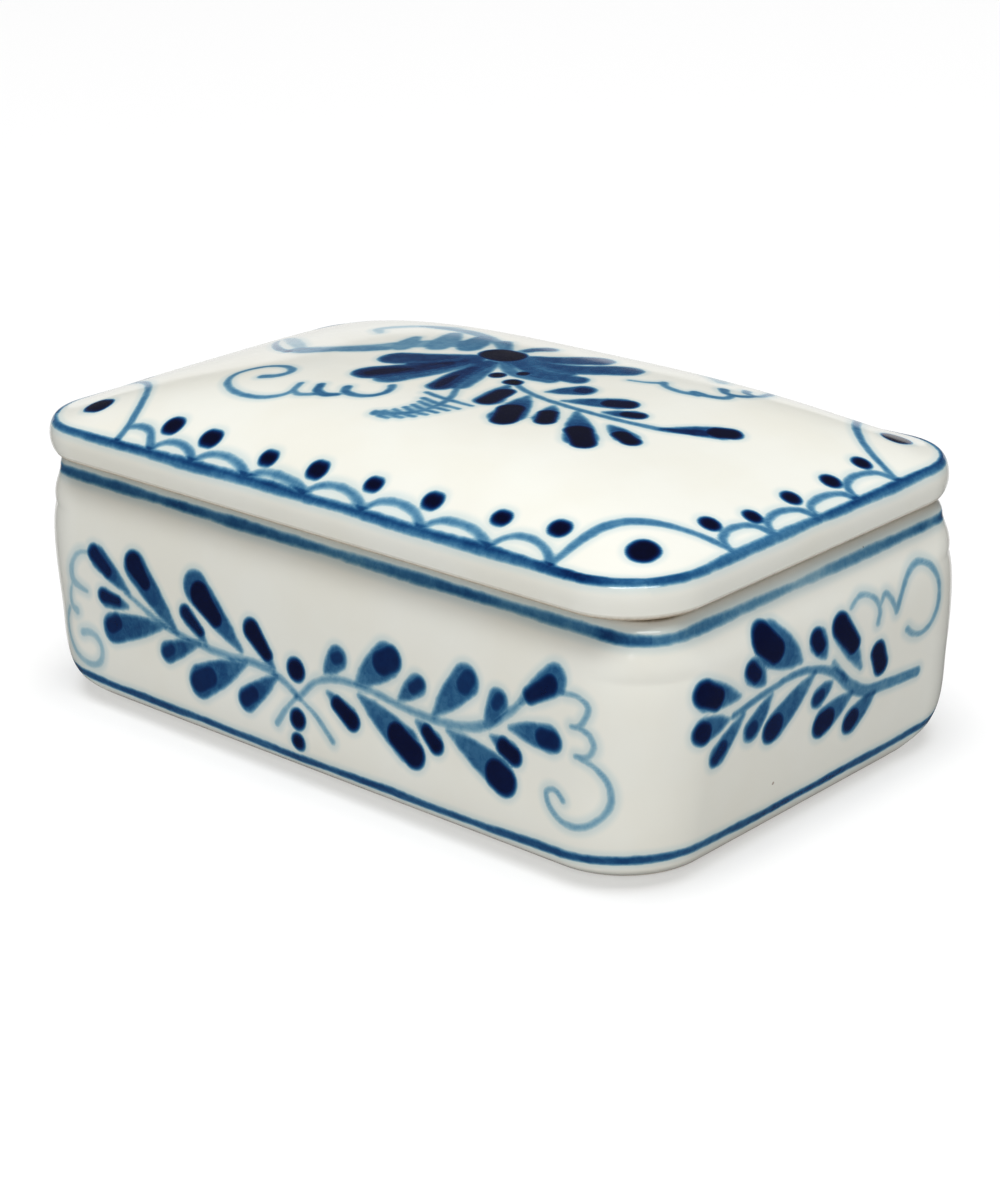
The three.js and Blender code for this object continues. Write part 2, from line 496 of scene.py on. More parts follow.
def long_wall():
    """The garland of the long walls: two leaf sprays that meet at three dots."""
    brushes = [
        stroke(WASH, 0.3, [0.25, 0.45, 0.5, 0.45], (-32.5, 17.2), (-29, 15.9), (-25, 14.5),
               (-20, 13.8), (-13, 13.5), (-8, 13.8), (-4, 13.0), (-1, 11.5)),
        stroke(WASH, 0.3, [0.35, 0.42, 0.45, 0.6, 0.35], (-0.8, 11.4), (2, 14), (6, 15.4),
               (11, 15.5), (17, 14.8), (24, 14.7), (29, 15.8), (32.5, 18), (35.2, 20.4)),
        stroke(LINE, 0.3, [0.2, 0.42], (-1.2, 11.4), (-3, 9.4), (-4.6, 7.2)),
        stroke(LINE, 0.3, [0.2, 0.4], (-0.5, 11.2), (2.2, 9.8), (5, 7.4)),
        dot(-1.2, 14.8, 1.5), dot(-1.0, 8.6, 1.3), dot(-1.0, 5.7, 1.1),
    ]
    leaves = [
        ((-31.8, 17.3), (-37.6, 20.6), 1.6, (-38.4, 21.0, 1.25, -35.8, 19.3, 1.1), 0.78),
        ((-32.2, 15.4), (-36.4, 15.6), 1.25, (-36.8, 15.7, 1.1, -34.0, 15.6, 0.8), 0.78),
        ((-25.2, 14.5), (-35.2, 11.8), 1.95, (-35.6, 12.0, 1.35, -34.4, 12.7, 1.3), 0.72),
        ((-22.8, 14.3), (-30.4, 21.0), 2.1, (-30.6, 21.3, 1.75, -28.6, 19.4, 1.3)),
        ((-17.4, 14.2), (-20.4, 16.8), 1.2, (-20.9, 17.2, 1.1, -18.4, 15.4, 0.8), 0.82),
        ((-10.8, 14.8), (-18.9, 20.9), 2.25, (-18.2, 20.2, 1.95, -15.4, 17.9, 1.35), 1.0),
        ((-5.1, 14.0), (-8.8, 17.8), 1.5, (-8.8, 17.9, 1.5, -6.3, 15.5, 1.0), 1.0),
        ((-18.8, 13.8), (-24.6, 11.2), 1.35, (-24.9, 11.1, 1.1, -23.9, 11.7, 1.05), 0.62),
        ((-10.2, 13.3), (-18.4, 8.9), 2.15, (-18.8, 8.8, 1.7, -16.8, 9.9, 1.65), 0.7),
        ((-4.8, 12.9), (-9.9, 8.8), 1.55, (-10.2, 8.8, 1.3, -8.8, 9.8, 1.25), 0.72),
        ((3.9, 15.9), (6.0, 18.1), 1.5, (5.6, 17.9, 1.1, 6.2, 18.2, 1.1), 0.6),
        ((9.1, 15.8), (14.0, 19.8), 2.2, (13.3, 19.3, 1.75, 14.7, 20.1, 1.75), 0.73),
        ((16.2, 15.7), (19.0, 18.1), 1.35, (18.3, 17.5, 1.0, 19.3, 18.3, 1.05), 0.64),
        ((21.6, 15.2), (26.6, 20.6), 1.95, (26.3, 19.9, 1.4, 27.0, 20.9, 1.4), 0.6),
        ((29.8, 16.2), (31.6, 19.5), 1.45, (31.2, 18.9, 1.0, 31.7, 19.7, 1.1), 0.6),
        ((35.0, 20.4), (39.5, 23.9), 1.75, (36.2, 21.3, 0.95, 39.0, 23.3, 1.35), 0.82),
        ((33.4, 16.8), (39.2, 17.1), 1.65, (38.2, 17.0, 1.35, 39.6, 17.0, 1.35), 0.74),
        ((30.6, 15.0), (33.4, 14.0), 1.25, (32.4, 14.3, 1.15, 33.9, 13.6, 1.2), 0.95),
        ((23.8, 13.9), (31.9, 10.8), 2.1, (31.3, 10.8, 1.9, 32.4, 10.3, 1.9), 0.92),
        ((19.0, 13.6), (21.6, 12.0), 1.3, (20.5, 12.8, 1.0, 21.9, 11.6, 1.15), 1.0),
        ((9.5, 14.3), (17.2, 10.4), 2.2, (15.7, 11.1, 1.75, 18.4, 9.5, 1.75), 1.0),
        ((4.3, 13.3), (7.8, 11.2), 1.45, (5.8, 12.3, 1.05, 8.2, 10.9, 1.3), 1.0),
    ]
    # the left spray is painted with a fuller brush
    for each in leaves:
        head_at = each[1][0]
        brushes += leaf(*each, pale=0.5 if head_at < -8 else 0.43)
    brushes += [
        stroke(LINE, 0.3, [0.22, 0.32, 0.25], (41.0, 22.8), (43.2, 22.9), (44.5, 22.0),
               (44.1, 20.6), (43.3, 19.6), (42.3, 19.4)),
        stroke(LINE, 0.3, [0.25, 0.32, 0.25], (43.3, 19.6), (44.8, 18.9), (45.3, 17.6),
               (44.6, 16.4), (43.0, 16.1)),
        stroke(LINE, 0.3, [0.22, 0.34, 0.36, 0.28, 0.3], (43.6, 16.0), (45.4, 15.3), (46.9, 13.6),
               (47.2, 11.5), (46.2, 9.5), (43.6, 7.9), (41.0, 8.0), (39.2, 9.4), (38.8, 10.8),
               (39.7, 11.3), (40.7, 10.9), (41.2, 10.4)),
        stroke(LINE, 0.2, [0.3, 0.35, 0.6, 0.3], (-39.6, 20.9), (-41.3, 20.6), (-42.5, 19.5),
               (-43.2, 18.0), (-43.0, 16.6), (-41.6, 15.9), (-40.2, 15.6)),
        stroke(LINE, 0.18, [0.25, 0.4, 0.6], (-43.3, 15.8), (-43.8, 14.0), (-43.4, 12.8),
               (-42.6, 12.4)),
        stroke(LINE, 0.18, [0.3, 0.45, 0.4, 0.55], (-44.3, 12.4), (-45.1, 10.8), (-44.9, 8.9),
               (-43.5, 7.0), (-41.4, 5.9), (-39.4, 5.8), (-37.9, 6.8), (-37.6, 8.4),
               (-38.6, 9.7), (-40.1, 10.1), (-41.4, 9.8)),
    ]
    return brushes


def short_wall():
    """The spray of the short walls: one stem with leaves on both sides, and a scroll."""
    brushes = [
        stroke(LINE, 0.45, [0.35, 0.36, 0.4, 0.68, 0.7, 0.6], (-17.3, 18.8), (-12, 19.6),
               (-6, 20.1), (-2, 19.3), (1.3, 17.7), (4.4, 15.2), (7.6, 13.4), (12, 12.8), (18.3, 12.3)),
        stroke(WASH, 0.35, [0.3, 0.3], (0.8, 19.2), (3.6, 16.2)),
    ]
    leaves = [
        ((-16.4, 20.8), (-21.8, 22.6), 1.75, (-22.2, 22.9, 1.6, -20.3, 21.9, 1.45), 0.97),
        ((-18.3, 18.6), (-22.3, 18.6), 1.6, (-22.5, 18.5, 1.45, -22.3, 18.4, 1.45), 0.9),
        ((-15.6, 18.3), (-19.6, 14.9), 1.45, (-20.0, 14.5, 1.0, -18.9, 15.5, 1.1), 0.72),
        ((-12.0, 21.0), (-13.9, 22.9), 1.55, (-14.2, 23.1, 1.2, -13.4, 22.3, 1.1), 0.9),
        ((-5.4, 21.4), (-10.6, 25.0), 2.55, (-11.7, 25.9, 1.95, -9.9, 24.1, 1.7), 1.0),
        ((-10.6, 19.0), (-13.8, 15.9), 1.5, (-13.9, 15.8, 1.2, -13.6, 16.0, 1.2), 0.66),
        ((-2.8, 19.0), (-9.4, 14.9), 1.95, (-10.0, 14.6, 1.7, -9.5, 14.9, 1.7), 0.8),
        ((-0.8, 20.5), (-2.2, 22.8), 1.55, (-2.5, 23.2, 1.25, -1.9, 22.1, 1.15), 0.9),
        ((6.3, 16.8), (2.2, 23.0), 1.75, (2.0, 23.3, 1.6, 4.5, 20.2, 1.25), 1.0),
        ((10.9, 14.8), (9.6, 17.4), 1.3, (9.5, 17.8, 1.3, 10.4, 15.8, 1.3), 0.95),
        ((0.7, 16.7), (-1.5, 15.7), 1.35, (-1.8, 15.6, 1.1, -1.2, 15.8, 1.1), 0.66),
        ((4.9, 13.9), (-0.1, 12.1), 1.95, (-0.4, 11.9, 1.7, 0.6, 12.2, 1.6), 0.86),
        ((9.6, 12.4), (5.6, 10.3), 1.75, (5.3, 10.1, 1.4, 5.8, 10.5, 1.4), 0.84),
    ]
    for each in leaves:
        brushes += leaf(*each)
    brushes += [
        stroke(LINE, 0.28, [0.22, 0.32, 0.4], (4.0, 24.8), (5.8, 25.7), (7.6, 25.3), (9.0, 24.2),
               (9.5, 22.8), (9.2, 21.5)),
        stroke(LINE, 0.28, [0.25, 0.35, 0.3], (9.5, 23.4), (10.6, 24.6), (11.8, 23.6), (12.8, 21.8)),
        stroke(LINE, 0.3, [0.4, 0.34, 0.36, 0.36, 0.3, 0.42], (12.8, 21.8), (13.6, 23.4),
               (15.3, 25.6), (17.5, 26.4), (19.8, 25.4), (21.3, 23.0), (21.3, 20.0), (20.0, 18.0),
               (18.2, 17.4), (16.4, 17.9), (15.2, 18.8)),
    ]
    return brushes


def turned(brushes):
    """The strokes turned half way round the lid's middle."""
    return [(layer, tone, -points, radii) for layer, tone, points, radii in brushes]


def lid_border():
    """Scallops, dots and corner motifs along one long and one short side of the lid."""
    long_y, short_x = -30.2, 51.3
    joints = [-27.1, -19.4, -9.7, 0.2, 9.9, 19.3, 29.5, 38.7]
    rises = [1.45, 1.35, 0.95, 1.45, 1.55, 1.35, 2.2]
    brushes = []
    for left, right, rise in zip(joints, joints[1:], rises):
        span, top = right - left, long_y + rise
        scallop = [
            (left, long_y), (left + 0.2 * span, top - 0.25 * rise), (left + 0.45 * span, top),
            (right - 0.22 * span, top - 0.3 * rise), (right, long_y),
        ]
        brushes.append(stroke(LINE, 0.4, [0.24, 0.34, 0.32, 0.5], *scallop))
    joints = [-15.2, -7.9, -0.4, 7.2, 15.4]
    rises = [2.7, 2.2, 1.8, 2.7]
    for low, high, rise in zip(joints, joints[1:], rises):
        span, top = high - low, short_x - rise
        scallop = [
            (short_x, low), (top + 0.3 * rise, low + 0.12 * span), (top, low + 0.45 * span),
            (top + 0.3 * rise, high - 0.16 * span), (short_x, high),
        ]
        brushes.append(stroke(LINE, 0.42, [0.34, 0.42, 0.36, 0.5], *scallop))
    dots = [
        (-26.4, -26.8, 1.2, 0.35), (-18.9, -27.3, 1.1, 0.5), (-8.1, -27.8, 0.9, 0.4),
        (0.1, -27.6, 1.05, 0.4), (9.3, -27.5, 0.8, 0.45), (18.6, -27.4, 0.98, 0.4),
        (28.6, -26.9, 0.9, 0.35), (36.0, -25.6, 1.15, 0.2), (46.9, -13.4, 1.1, 0.12),
        (48.3, -7.7, 1.0, 0.1), (48.0, -0.4, 1.1, 0.05), (48.0, 7.0, 1.15, 0.05),
        (47.2, 14.0, 1.1, 0.05),
    ]
    brushes += [dot(x, y, radius, 0.97, wide=wide) for x, y, radius, wide in dots]
    brushes += [
        stroke(LINE, 0.42, [0.42, 0.62, 0.6, 0.42, 0.4], (38.7, -30), (39.2, -26.6), (40, -23.1),
               (41.6, -20.3), (44.1, -18.1), (47.2, -16.4), (51.0, -15)),
        dot(45.9, -23.4, 1.7, tall=0.2),
        stroke(LINE, 0.42, [0.4, 0.4, 0.4, 0.55], (-33.6, -28.2), (-31.4, -27.8), (-29.3, -28.2),
               (-27.3, -30)),
    ]
    return brushes


def lid_corners():
    """The front left and back right corners, each drawn a little differently."""
    return [
        stroke(LINE, 0.4, [0.5, 0.5, 0.4, 0.36, 0.36], (-33.4, -30.2), (-33.6, -28.1),
               (-34.6, -25.8), (-36.6, -22.7), (-39, -20.1), (-42, -18), (-46, -16.4), (-51, -15.2)),
        stroke(LINE, 0.45, [0.5, 0.42, 0.4, 0.4], (34.8, 30.2), (36.9, 27.6), (38.9, 24.6),
               (41, 21.5), (44, 18.6), (47.2, 16.7), (51, 15.2)),
        dot(-43.0, -25.1, 1.5, wide=0.55),
        dot(44.4, 24.9, 1.55, tall=0.3),
    ]


def lid_flower():
    """The flower, leaf spray, fern and scrolls in the middle of the lid."""
    brushes = []
    leaves = [
        ((29.4, -0.3), (34.2, 4.3), 1.7, (34.0, 4.2, 1.5, 35.0, 5.2, 1.4), 0.95),
        ((11.2, 0.1), (14.0, 3.2), 1.75, (13.9, 3.2, 1.3, 14.3, 3.3, 1.3), 0.62),
        ((15.0, -1.3), (20.6, 2.3), 1.85, (19.8, 1.8, 1.45, 21.4, 2.8, 1.4), 0.88),
        ((21.3, -1.2), (24.2, 0.5), 1.35, (23.6, 0.2, 1.05, 24.8, 0.8, 1.05), 0.9),
        ((5.6, -0.8), (7.9, -6.6), 1.9, (7.1, -3.2, 1.4, 7.9, -6.8, 1.5), 0.93),
        ((10.5, -2.6), (13.6, -9.6), 2.3, (12.3, -7.4, 1.75, 14.2, -10.7, 1.7), 1.0),
        ((15.4, -3.6), (17.6, -7.4), 1.55, (16.7, -5.9, 1.2, 18.2, -8.1, 1.25), 1.0),
        ((19.0, -3.5), (25.0, -9.6), 2.05, (23.2, -7.9, 1.7, 26.1, -10.4, 1.5), 1.0),
        ((24.7, -4.1), (28.3, -5.5), 1.55, (27.4, -5.3, 1.2, 29.4, -6.0, 1.2), 1.0),
    ]
    brushes.append(stroke(LINE, 0.42, [0.3, 0.38, 0.4, 0.45, 0.7], (4.8, 1.2), (7, -0.4),
                          (10, -1.6), (14, -2.4), (20, -2.5), (26, -1.6), (30, -0.1),
                          (33, 2.7)))
    for each in leaves:
        brushes += leaf(*each)
    # petals: root, waist and tip, half width, load of the wash, and the load at the tip
    petals = [
        ((-6.2, 6.2), (-10.4, 2.2), (-14.0, 0.0), 2.5, 0.62, 0.74),
        ((-5.2, 5.0), (-8.2, -1.4), (-12.0, -6.6), 2.5, 0.66, 0.95),
        ((-4.6, 4.6), (-6.2, -1.6), (-8.4, -6.8), 2.2, 0.42, 0.5),
        ((-3.2, 5.2), (-2.4, -0.6), (-0.9, -5.8), 1.8, 0.62, 0.85),
        ((-2.4, 5.2), (-0.6, 0.6), (0.9, -4.4), 1.5, 0.42, 0.45),
        ((-1.6, 6.2), (2.8, 3.4), (8.2, 3.9), 1.2, 0.4, 0.42),
        ((-1.0, 7.2), (5.2, 5.2), (10.8, 6.0), 1.4, 0.56, 0.55),
        ((-0.6, 8.4), (7.2, 9.2), (12.2, 13.2), 2.3, 0.5, 0.6),
        ((-1.2, 9.4), (3.2, 11.4), (6.4, 14.6), 2.3, 0.5, 0.62),
        ((-5.2, 6.2), (-7.4, 2.2), (-9.4, -0.6), 2.0, 0.46, 0.5),
        ((-0.6, 7.6), (3.6, 7.2), (7.4, 7.4), 1.8, 0.42, 0.42),
        ((-3.4, 11.0), (-3.0, 13.4), (-2.0, 15.0), 1.3, 0.26, 0.5),
        ((-5.4, 10.6), (-7.0, 12.8), (-8.6, 14.2), 0.8, 0.3, 0.36),
    ]
    for root, waist, tip, width, pale, deep in petals:
        root, waist, tip = (np.array(p, float) for p in (root, waist, tip))
        brushes.append(stroke(WASH, pale, [0.9, 0.8 * width, width], root, waist, tip))
        brushes.append(stroke(WASH, deep, [0.2 * width, 0.45 * width, 0.6 * width],
                              0.5 * (root + waist), waist, tip))
    brushes += [
        stroke(DARK, 0.85, [0.7, 1.6, 1.3], (-9.0, -2.6), (-11.0, -5.4), (-12.0, -6.8)),
        stroke(DARK, 0.8, [0.5, 1.1, 0.8], (-2.4, -1.0), (-1.7, -4.2), (-1.0, -6.2)),
        stroke(LINE, 0.2, [0.3, 0.5, 0.2], (-5.8, 4.2), (-8.4, 0.6), (-12.4, -2.0)),
        dot(-4.0, 8.6, 2.5, 1.0, wide=0.8),
        dot(3.7, 4.0, 0.9), dot(1.6, 1.6, 1.05), dot(5.2, 0.5, 1.0, wide=0.25),
    ]
    # long feathery leaf behind the flower: its back, hanging lobes and tail
    brushes += [
        stroke(WASH, 0.26, [0.5, 0.8, 1.0, 1.1, 0.6], (-6.2, 10.6), (-8.8, 13.0), (-13.4, 15.0),
               (-18.4, 15.9), (-24.0, 15.2)),
        stroke(WASH, 0.22, [1.6, 1.9, 1.7, 1.4, 1.3, 1.2], (-10.4, 10.4), (-14.0, 8.6),
               (-17.8, 5.6), (-21.8, 1.8), (-26.0, -0.6), (-30.2, -2.0)),
        stroke(WASH, 0.34, [1.0, 1.9, 1.7], (-12.8, 14.2), (-11.2, 11.2), (-10.0, 8.8)),
        stroke(WASH, 0.28, [1.0, 1.8, 1.7], (-17.0, 13.4), (-15.2, 10.2), (-13.7, 6.9)),
        stroke(WASH, 0.27, [0.8, 1.5, 1.4], (-19.6, 8.8), (-18.5, 6.2), (-17.4, 4.1)),
        stroke(WASH, 0.29, [0.7, 1.3, 0.8], (-18.6, 2.6), (-21.6, 1.0), (-25.2, -0.9)),
        stroke(WASH, 0.3, [0.7, 1.3, 1.2], (-25.0, -1.2), (-28.4, -2.4), (-30.6, -2.3)),
        stroke(LINE, 0.4, [0.5, 0.5, 0.34, 0.2], (-30.8, -3.4), (-34.0, -2.0), (-37.0, 0.1),
               (-40.0, 2.8), (-42.0, 5.0)),
        stroke(WASH, 0.17, [0.8, 1.0, 0.9, 0.4], (-30.6, -1.2), (-34.0, 1.1), (-38.0, 3.9),
               (-42.0, 6.4)),
        stroke(WASH, 0.15, [0.5, 0.9, 0.9, 0.5], (-26.4, 9.0), (-28.6, 11.2), (-26.0, 14.2),
               (-20.0, 17.6)),
    ]
    # scrolls and fern
    brushes += [
        stroke(LINE, 0.38, [0.65, 0.55, 0.42, 0.4, 0.4, 0.42, 0.36], (-23.7, -14.2), (-22.2, -13.4),
               (-21.5, -11.9), (-22.3, -10.5), (-24.3, -9.8), (-27.0, -10.8), (-28.5, -13.8),
               (-27.5, -16.6), (-24.5, -18.8), (-20.5, -19.6), (-17.3, -18.9), (-15.8, -17.2),
               (-16.7, -14.2)),
        stroke(LINE, 0.36, [0.3, 0.4, 0.35], (-15.9, -16.2), (-14.4, -17.0), (-12.6, -16.4),
               (-11.8, -15.8)),
        stroke(LINE, 0.5, [0.5, 0.6, 0.45], (-13.9, -13.4), (-12.7, -15.2), (-10.9, -15.7),
               (-9.4, -15.0)),
        stroke(LINE, 0.46, [0.55, 0.55, 0.42, 0.45, 0.45], (-10.2, -12.5), (-9.2, -13.8),
               (-7.3, -14.1), (-5.4, -13.4), (-4.6, -11.8), (-5.0, -10.2), (-5.8, -9.2)),
        stroke(LINE, 0.38, [0.5, 0.45, 0.4, 0.4, 0.55], (12.6, 30.6), (17, 29.4), (21.6, 28.1),
               (25.4, 25.1), (28.0, 21.6), (28.6, 18.4), (27.2, 18.2), (26.4, 19.2)),
        stroke(LINE, 0.42, [0.4, 0.5, 0.4, 0.65], (28.5, 18.2), (27.9, 16.2), (26.2, 15.5),
               (24.9, 16.6)),
        stroke(LINE, 0.42, [0.4, 0.5, 0.5, 0.65], (27.2, 15.6), (27.4, 13.8), (25.8, 12.6),
               (23.9, 12.3)),
        stroke(LINE, 0.38, [0.45, 0.45, 0.4, 0.5], (24.8, 11.8), (22.4, 11.1), (20.0, 11.5),
               (18.9, 12.5)),
        stroke(LINE, 0.3, [0.4, 0.3, 0.2], (18.9, 12.2), (17.2, 10.9), (15.4, 10.2)),
        stroke(WASH, 0.14, [0.4, 1.7, 0.9], (12.4, 27.2), (17.4, 24.2), (22.0, 19.8)),
        stroke(LINE, 0.42, [0.35, 0.42, 0.42, 0.6], (1.9, -6.0), (3.4, -8.5), (4.2, -11.4),
               (3.7, -14.2), (1.8, -16.0), (-0.9, -17.0)),
    ]
    ribs = [
        (-0.4, -8.8, 7.8, -9.5), (0.8, -10.6, 7.2, -11.2), (1.4, -11.8, 6.6, -12.3),
        (1.5, -13.0, 6.0, -13.5), (1.2, -14.1, 5.3, -14.6), (0.6, -15.2, 4.4, -15.7),
        (-0.3, -16.1, 3.2, -16.6), (-1.2, -16.7, 1.6, -17.4),
    ]
    for x0, y0, x1, y1 in ribs:
        middle = 0.5 * (x0 + x1), 0.5 * (y0 + y1) - 0.25
        brushes.append(stroke(LINE, 0.42, [0.3, 0.36, 0.24], (x0, y0), middle, (x1, y1)))
    return brushes


def sway(along, seed, amplitude, pitch=40.0):
    """A slow unevenness of the hand along a line."""
    a, b = 2 * math.pi / pitch, 2 * math.pi / (0.37 * pitch)
    return amplitude * (0.7 * np.sin(a * along + seed) + 0.3 * np.sin(b * along + 2.3 * seed))


def touched(along, touches):
    """More load where the brush paused: each touch is where, its reach, and the extra load."""
    return sum(extra * np.exp(-((along - where) / span) ** 2) for where, span, extra in touches)


def store(piece, name, values):
    attribute = piece.data.attributes.new(name, "FLOAT_VECTOR", "POINT")
    attribute.data.foreach_set("vector", np.ascontiguousarray(values, np.float32).ravel())


def store_ink(piece, distance, tone):
    store(piece, "ink_edge", np.clip(distance, -CLEAR, CLEAR))
    store(piece, "ink_tone", tone)


def lay_line(distance, tone, at, off_centre, half_width, strength):
    """A painted band whose signed offset from its middle is known at each vertex."""
    away = np.abs(off_centre) - half_width
    distance[at, LINE] = np.minimum(distance[at, LINE], away)
    reaches = np.clip(1.3 - away / 0.5, 0, 1)
    tone[at, LINE] = np.maximum(tone[at, LINE], strength * reaches)


TOP_LINE, BOTTOM_LINE = 29.55, 3.4  # heights of the base's two lines at the walls' middles
LID_LINE_TURN = math.radians(58)  # where on the rolled edge the lid's line runs


def paint_base(piece, points, charts):
    """Two lines right round the base, and a spray on each wall."""
    u, v, chart = charts.T
    distance = np.full((len(points), 3), CLEAR)
    tone = np.zeros((len(points), 3))
    for number, brushes in (
        (FRONT, long_wall()), (BACK, long_wall()), (RIGHT, short_wall()), (LEFT, short_wall()),
    ):
        at = np.flatnonzero(chart == number)
        lay(distance, tone, at, brushes, u[at], v[at])
        along, height, seed = u[at], v[at], 1.7 * number
        reach = HALF_LENGTH if number in (FRONT, BACK) else HALF_WIDTH
        bow = (along / reach) ** 2
        top = TOP_LINE + 0.1 * bow
        # the walls' lines meet at the corners, equally dark and wide
        away = 1 - np.clip(3 * np.abs(along) / reach - 2, 0, 1)
        if number in (FRONT, BACK):
            usual, touches = 0.64, [(-25, 7, 0.3), (45.2, 1.9, 0.4)]
        else:
            usual, touches = 0.4, [(20, 1.5, 0.25), (26.5, 3.5, 0.35)]
        heavy = 0.7 + away * (usual - 0.7 + sway(along, seed, 0.15, 33)) + touched(along, touches)
        width = 0.48 + away * sway(along, seed + 1, 0.1, 27)
        lay_line(distance, tone, at, height - top, width, heavy)
        bottom = BOTTOM_LINE + 0.85 * bow + away * sway(along, seed + 2, 0.12, 30)
        lay_line(distance, tone, at, height - bottom, 0.5 + away * sway(along, seed, 0.08, 21),
                 0.84 + away * sway(along, seed + 3, 0.12, 36))
    store_ink(piece, distance, tone)


def paint_lid(piece, points, charts):
    """The border, corners and flower on the lid, and the line round its edge."""
    distance = np.full((len(points), 3), CLEAR)
    tone = np.zeros((len(points), 3))
    at = np.flatnonzero(charts[:, 2] == LID_CHART)
    x, y, inwards = points[at, 0], points[at, 1], charts[at, 0]
    middle = section_length(LID_LINE_TURN) - section_length(EDGE_TURN)
    above = inwards > middle
    border = lid_border()
    brushes = border + turned(border) + lid_corners() + lid_flower()
    lay(distance, tone, at[above], brushes, x[above], y[above], load=1.25)
    # border line on the shoulder of the rolled edge, gone over twice in places
    round_way = np.where(np.abs(y) > DOME_B - 3, 0.58 * x, y - 25 * np.sign(x))
    off_centre = inwards - middle - sway(round_way, 2, 0.1, 30)
    twice = np.clip(2 * np.cos(2 * math.pi * round_way / 110), 0, 1)
    heavy = 0.62 + 0.36 * twice * np.clip(0.5 + off_centre / 0.5, 0, 1) + sway(round_way, 1, 0.06, 23)
    heavy += touched(round_way, [(24.6, 2.2, 0.6), (-50, 3, 0.25)])
    lay_line(distance, tone, at, off_centre, 0.52 + sway(round_way, 4, 0.1, 26), heavy)
    store_ink(piece, distance, tone)


# --- Material ---------------------------------------------------------------


class Nodes:
    """Short ways to add nodes to a material."""

    def __init__(self, name):
        self.material = bpy.data.materials.new(name)
        self.material.use_nodes = True
        self.tree = self.material.node_tree
        self.tree.nodes.clear()

    def node(self, kind, settings=None, **inputs):
        made = self.tree.nodes.new(kind)
        for key, value in (settings or {}).items():
            setattr(made, key, value)
        for key, value in inputs.items():
            self.set(made, key.replace("_", " "), value)
        return made

    def set(self, node, key, value):
        socket = node.inputs[key]
        if isinstance(value, bpy.types.NodeSocket):
            self.tree.links.new(value, socket)
        else:
            socket.default_value = value

    def math(self, operation, *values, clamp=False):
        made = self.tree.nodes.new("ShaderNodeMath")
        made.operation, made.use_clamp = operation, clamp
        for place, value in enumerate(values):
            self.set(made, place, value)
        return made.outputs[0]

    def spread(self, value, low, high, to_low=0.0, to_high=1.0, eased=True):
        """value mapped from low..high to to_low..to_high and held at the ends."""
        made = self.tree.nodes.new("ShaderNodeMapRange")
        made.interpolation_type = "SMOOTHSTEP" if eased else "LINEAR"
        for place, each in enumerate((value, low, high, to_low, to_high)):
            self.set(made, place, each)
        return made.outputs[0]

    def noise(self, size_mm, detail=2.0, roughness=0.5, at=None, distortion=0.0):
        made = self.node(
            "ShaderNodeTexNoise",
            Scale=1 / (size_mm * MM),
            Detail=detail,
            Roughness=roughness,
            Distortion=distortion,
        )
        self.set(made, "Vector", at)
        return made.outputs[0]

    def mix(self, share, a, b, blend="MIX"):
        made = self.tree.nodes.new("ShaderNodeMix")
        made.data_type, made.blend_type = "RGBA", blend
        for place, each in ((0, share), (6, a), (7, b)):
            self.set(made, place, each)
        return made.outputs[2]

    def attribute(self, name):
        made = self.node("ShaderNodeAttribute", {"attribute_name": name})
        split = self.node("ShaderNodeSeparateXYZ", Vector=made.outputs["Vector"])
        return split.outputs


# How strongly a full load of underglaze cobalt takes up red, green and blue light
COBALT_TAKES = 6.4, 3.6, 2.05
BODY_WHITE = (0.775, 0.775, 0.715, 1)
BODY_CREAM = (0.755, 0.745, 0.67, 1)
IRON_BROWN = (0.16, 0.075, 0.03, 1)
# bare clay colours, made darker so that they also paint the shade in the gap under the lid's edge
BISQUE_AND_GAP_SHADE = (0.44, 0.37, 0.28, 1)
BISQUE_DUSTY_AND_GAP_SHADE = (0.31, 0.25, 0.18, 1)

# Each layer of painting: how far its edge wanders, how far it fades outside and inside that
# edge, and how unevenly it is loaded
LAYERS = (
    (WASH, 0.4, 0.52, 0.55, 0.3),
    (LINE, 0.34, 0.44, 0.34, 0.3),
    (DARK, 0.2, 0.48, 0.7, 0.1),
)
LINE_LOAD, DARK_LOAD = 0.85, 1.6
HALO_LOAD, HALO_REACH = 0.045, 1.3  # the faint blue that bleeds into the glaze round a stroke


